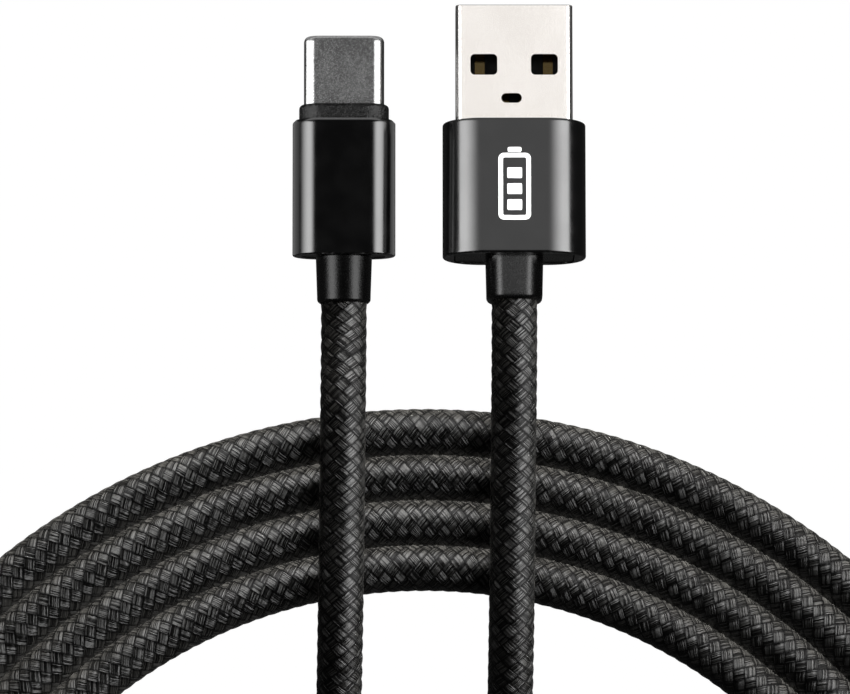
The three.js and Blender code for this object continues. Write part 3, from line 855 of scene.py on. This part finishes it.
def usb_c_collar():
    c = C_COLLAR
    outer, filling = within(c, corner=FINER), within(C_BORE, GAP, corner=FINER)(0)
    bore = within(C_SHELL, -GAP, corner=FINER)
    rings = rounded_end(outer, c["front"], -1, c["edge"]) + [(outer(0), GAP), (filling, GAP)]
    rings += [(filling, c["spigot"]), (bore(0), c["spigot"])]
    rings += [(bore(0), c["front"] - GAP), (bore(-GAP), c["front"])]
    made = object_of("usb_c_plug_collar", ring_solid(rings, closed=True))
    return settle(made, PLUG_C, "collar_plastic", "usb_c_collar")


def usb_c_housing():
    h, chamfer, mouth = C_HOUSING, C_HOUSING["chamfer"], C_BORE_MOUTH
    outer = sized(h["width"], h["height"], C_HOUSING_CROWN, h["height"] / 2, corner=FINEST)
    bore = within(C_BORE, corner=FINEST)
    front = [(bore(-mouth), 0), (outer(chamfer), 0), (outer(0.03), -chamfer + 0.03)]
    front += [(outer(0), -chamfer - 0.06), (outer(0), -2 * chamfer)]
    rear = rounded_end(outer, -h["length"], 1, h["edge"], inside=True)
    rear += [(bore(-mouth), -h["length"]), (bore(0), -h["length"] + mouth), (bore(0), -mouth)]
    made = object_of("usb_c_plug_housing", ring_solid(front + rear, closed=True))
    return settle(made, PLUG_C, "anodised_housing", "usb_c_housing")


def usb_c_strain_relief():
    r, rear = C_RELIEF, -C_HOUSING["length"]
    neck, start = circle(r["neck"], corner=FINE)(0), circle(r["start"], corner=FINE)
    rings = [(neck, rear + END_PLATE["neck"]), (neck, rear - GAP)]
    rings += [(start(0.06), rear - GAP), (start(0), rear - GAP - 0.06)]
    rings += relief_end(circle(r["end"], corner=FINE), C_RELIEF_END, r["edge"], corner=FINE)
    made = object_of("usb_c_plug_strain_relief", ring_solid(rings))
    combined(made, [end_plate(C_BORE, rear, corner=FINE)], "UNION")
    return settle(made, PLUG_C, "relief_plastic", "usb_c_strain_relief")


def charge_mark():
    """A battery outline with three bars, printed on the flat top of the USB-A housing."""
    area, bar, terminal = MARK_AREA, MARK_BAR, MARK_TERMINAL
    top = A_HOUSING["height"] / 2
    levels = (top - MARK_SUNK, top + MARK_THICKNESS)
    made = object_of("charge_mark", block_at(0, area["y"], area, *levels, area["radius"]))
    hollow = {side: area[side] - 2 * area["line"] for side in ("width", "length")}
    inner = block_at(0, area["y"], hollow, levels[0] - 1, levels[1] + 1, area["inner_radius"])
    combined(made, [inner], "DIFFERENCE")
    terminal_y = area["y"] + area["length"] / 2 + terminal["beyond"]
    printed = [block_at(0, terminal_y, terminal, *levels, terminal["radius"])]
    printed += [block_at(0, area["y"] + place, bar, *levels, bar["radius"]) for place in bar["places"]]
    combined(made, printed, "UNION")
    return settle(made, PLUG_A, "anodised_housing", material=MARK)


TIE_SLACK = 0.75  # between the strap and the turns on either side
TIE_CORE = 4.75  # the height inside the strap
TIE_HALF_WIDTH = 6.0
TIE_EDGE = 0.22
TIE_RADIUS = 0.9
TIE_SPANS = 24
FLAP = {"thickness": 0.72, "short_by": 3.2, "inset": 0.25, "overlap": 0.2, "gap": 0.02,
        "wave": 0.1, "lift": 0.35}
FLAP_STEPS = 32
FLAP_TIP_STEPS = 5  # in which its tip narrows
FLAP_TIP_INSET = 0.9
WAVE_TURN = 0.55  # radians to a step


def tie_flap(near, far, top):
    """The strap's free end on top of it: it waves a little, and its last part lifts and narrows."""
    flap, thick = FLAP, FLAP["thickness"]
    built = bmesh.new()
    rows = []
    for k in range(FLAP_STEPS + 1):
        share = k / FLAP_STEPS
        in_tip = max(0, 1 - (FLAP_STEPS - k) / FLAP_TIP_STEPS)
        x = far + flap["overlap"] - (far - near - flap["short_by"]) * share
        level = top + flap["gap"] + flap["wave"] * math.sin(k * WAVE_TURN) * share + flap["lift"] * share**6
        wide = TIE_HALF_WIDTH - flap["inset"] - FLAP_TIP_INSET * in_tip**2
        row = [(-wide, 0.1), (-wide + 0.12, thick), (0, thick + 0.04), (wide - 0.12, thick), (wide, 0.1)]
        row += [(wide, 0), (-wide, 0)]
        rows.append([built.verts.new((x, y, level + up)) for y, up in row])
    return bridge(built, rows)


def cord_tie():
    """The strap that holds the coil: a band round all the turns, and its free end pressed down on top."""
    half_cord = CORD_DIAMETER / 2 + TIE_SLACK
    near, far = WIDE_BEND - (COIL_TURNS - 1) * COIL_PITCH - half_cord, WIDE_BEND + half_cord
    span, height = far - near, TIE_CORE + 2 * TIE_THICKNESS
    shape = {"x": (near + far) / 2, "z": height / 2, "corner": 8, "flat": TIE_SPANS}
    outer = sized(span + 2 * TIE_THICKNESS, height, TIE_RADIUS + TIE_THICKNESS, **shape)
    inner = sized(span, TIE_CORE, TIE_RADIUS, **shape)
    band = sleeve(outer, inner, TIE_HALF_WIDTH, -TIE_HALF_WIDTH, TIE_EDGE, TIE_EDGE)
    made = object_of("cord_tie_strap", band)
    combined(made, [tie_flap(near, far, height)], "UNION")
    lowest = oval_table()[1].min()
    turn = Matrix.Rotation(math.radians(TIE_ANGLE - 270), 4, "Z")
    at = Matrix.Translation(Vector((COIL_TOP[0], lowest + WIDE_BEND, 0)) * MM) @ turn @ Matrix.Scale(MM, 4)
    return settle(made, at, "tie_fabric", "cord_tie")


for make in (usb_a_shell, usb_a_housing, usb_a_strain_relief, charge_mark,
             usb_c_shell, usb_c_collar, usb_c_housing, usb_c_strain_relief):
    make()
tie = cord_tie()
cord.data.materials.append(MATERIALS["braid"])

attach(cord, "cable")
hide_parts("cord_lead_a", "cord_lead_c", "cord_coil")

# ---------------------------------------------------------------- floor and light
FAR = 1.2  # metres from the cable to the light panels
FLOOR_REACH = 3.0
FLOOR_LEVEL = -1e-5  # just under the cable
NO_SHADOWS = bpy.data.collections.new("no_shadows")  # holds the floor alone, which casts none


def panel(name, strength, span, reach, over="x", soft=(0.0, 0.0), pieces=(), colour=(1, 1, 1), fill=False):
    """An area light that fills a range of directions, in degrees from straight up: span along the axis named
    by over, and reach to either side of it. soft is the share of the span over which each side fades. The
    light falls on the given pieces alone. A fill light makes no highlights and no shadows."""
    start, end = (math.radians(limit) for limit in span)
    middle, half = (start + end) / 2, (end - start) / 2
    light = bpy.data.lights.new(name, "AREA")
    light.shape = "RECTANGLE"
    light.size, light.size_y = 2 * FAR * math.tan(half), 2 * FAR * math.tan(math.radians(reach))
    light.energy = math.pi * light.size * light.size_y
    light.use_nodes = True
    tree = light.node_tree
    tree.nodes.clear()
    place_on = node(tree, "SeparateXYZ", node(tree, "NewGeometry").outputs["Parametric"]).outputs[0]
    level = times(tree, ramp(tree, place_on, 0.0, soft[0] + 1e-4),
                  ramp(tree, maths(tree, "SUBTRACT", 1.0, place_on), 0.0, soft[1] + 1e-4))
    glow = node(tree, "Emission", (*colour, 1), times(tree, level, float(strength)))
    tree.links.new(glow.outputs[0], node(tree, "OutputLight").inputs[0])
    outward = Vector((math.sin(middle), 0, math.cos(middle)))
    along = Vector((math.cos(middle), 0, -math.sin(middle)))
    if over == "y":
        outward, along = outward.yxz, along.yxz
    turn = Matrix((along, outward.cross(along), outward)).transposed()
    made = bpy.data.objects.new(name, light)
    made.matrix_world = Matrix.Translation(outward * FAR) @ turn.to_4x4()
    bpy.context.scene.collection.objects.link(made)
    made.visible_camera = False
    group = bpy.data.collections.new(name + "_on")
    for piece in pieces:
        group.objects.link(piece)
    made.light_linking.receiver_collection = group
    if fill:
        made.visible_glossy = False
        made.light_linking.blocker_collection = NO_SHADOWS


def make_floor():
    mesh = bpy.data.meshes.new("floor")
    corners = ((-1, -1), (1, -1), (1, 1), (-1, 1))
    points = [(x * FLOOR_REACH, y * FLOOR_REACH, FLOOR_LEVEL) for x, y in corners]
    mesh.from_pydata(points, [], [(0, 1, 2, 3)])
    floor = bpy.data.objects.new("floor", mesh)
    bpy.context.scene.collection.objects.link(floor)
    look = {"Base_Color": (0.1, 0.1, 0.1, 1), "Roughness": 1.0, "Specular_IOR_Level": 0.0,
            "Emission_Color": (1, 1, 1, 1), "Emission_Strength": 1.0}
    mesh.materials.append(principled("floor", **look)[0])
    floor.visible_glossy = False
    floor.visible_shadow = False
    floor.visible_diffuse = False
    NO_SHADOWS.objects.link(floor)
    floor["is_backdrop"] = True


def make_world():
    world = bpy.data.worlds.new("world")
    bpy.context.scene.world = world
    world.use_nodes = True
    tree = world.node_tree
    tree.nodes.clear()
    seen = node(tree, "LightPath").outputs["Is Camera Ray"]
    up = node(tree, "SeparateXYZ", node(tree, "TexCoord").outputs["Generated"]).outputs[2]
    ambient = ramp(tree, up, -0.1, 0.25, 0.035, 0.02)
    glow = node(tree, "Background", (1, 1, 1, 1))
    tree.links.new(maths(tree, "MAXIMUM", seen, ambient), glow.inputs["Strength"])
    tree.links.new(glow.outputs[0], node(tree, "OutputWorld").inputs[0])


def pieces_named(start):
    return [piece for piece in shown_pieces() if piece.name.startswith(start)]


make_floor()
make_world()
plug_a, plug_c = pieces_named("usb_a_plug") + [bpy.data.objects["charge_mark"]], pieces_named("usb_c_plug")
shell_a, shell_c = [bpy.data.objects["usb_a_plug_shell"]], [bpy.data.objects["usb_c_plug_shell"]]
relief_a, relief_c = [bpy.data.objects["usb_%s_plug_strain_relief" % kind] for kind in "ac"]
collar = bpy.data.objects["usb_c_plug_collar"]
body_a = [piece for piece in plug_a if piece not in shell_a + [relief_a]]
body_c = [piece for piece in plug_c if piece not in shell_c + [relief_c, collar]]
inside = [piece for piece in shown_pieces() if piece not in plug_a + plug_c + [cord, tie]]


def strips(name, strength, span, reach, soft, pieces):
    """The same light on both sides. soft is its inner and outer fade."""
    low, high = span
    panel("right_strip_" + name, strength, (low, high), reach, soft=soft, pieces=pieces)
    panel("left_strip_" + name, strength, (-high, -low), reach, soft=soft[::-1], pieces=pieces)


strips("housing_a", 9, (5, 74), 24, (0.75, 0.12), body_a)
strips("shell_a", 3, (9, 54), 24, (0.1, 0.05), shell_a)
strips("relief_a", 5.5, (8, 46), 24, (0.4, 0.4), [relief_a])
strips("housing_c", 8.5, (21, 100), 24, (0.35, 0.6), body_c)
strips("bounce_c", 0.45, (98, 160), 24, (0.3, 0.1), body_c)
strips("shell_c", 2.2, (14, 105), 24, (0.15, 0.1), shell_c)
strips("collar", 2.4, (22, 105), 45, (0.35, 0.4), [collar])
strips("relief_c", 3.4, (28, 74), 24, (0.3, 0.3), [relief_c])
back = {"over": "y", "soft": (0.1, 0.3)}
panel("top_light_shell_a", 0.87, (4, 60), 50, pieces=shell_a, colour=(1, 0.965, 0.93), **back)
panel("top_light_housing_a", 0.95, (4, 60), 50, pieces=body_a, **back)
panel("top_light_relief_a", 0.5, (4, 60), 50, pieces=[relief_a], **back)
panel("top_light_shell_c", 0.12, (3, 60), 50, pieces=shell_c, **back)
panel("top_light_inside", 0.06, (0, 50), 50, pieces=inside, **back)
shells = shell_a + shell_c
for name, strength, span in (("front_sky", 0.6, (-89, -45)), ("back_sky", 0.6, (45, 89)),
                             ("front_bounce", 0.4, (-150, -95)), ("back_bounce", 0.4, (95, 150))):
    panel(name + "_shells", strength, span, 55, over="y", soft=(0.2, 0.2), pieces=shells)
strips("bounce_shells", 0.2, (86, 101), 40, (0.2, 0.2), shells)
panel("front_light", 1.5, (74, 112), 50, over="y", soft=(0.3, 0.3), pieces=body_a + body_c)
on_cord = {"reach": 26, "pieces": [cord, tie]}
panel("right_strip_cord", 8, (24, 48), soft=(0.3, 0.0), **on_cord)
panel("right_low_cord", 4.5, (48, 88), **on_cord)
panel("back_strip_cord", 9, (34, 56), over="y", soft=(0.25, 0.0), **on_cord)
panel("back_low_cord", 4.5, (56, 88), over="y", **on_cord)
fill = {"span": (84, 116), "reach": 8, "pieces": [cord, tie], "fill": True}
panel("back_fill_cord", 720, over="y", colour=(1, 0.98, 0.95), **fill)
panel("right_fill_cord", 220, **fill)
bpy.context.scene.view_settings.view_transform = "Standard"
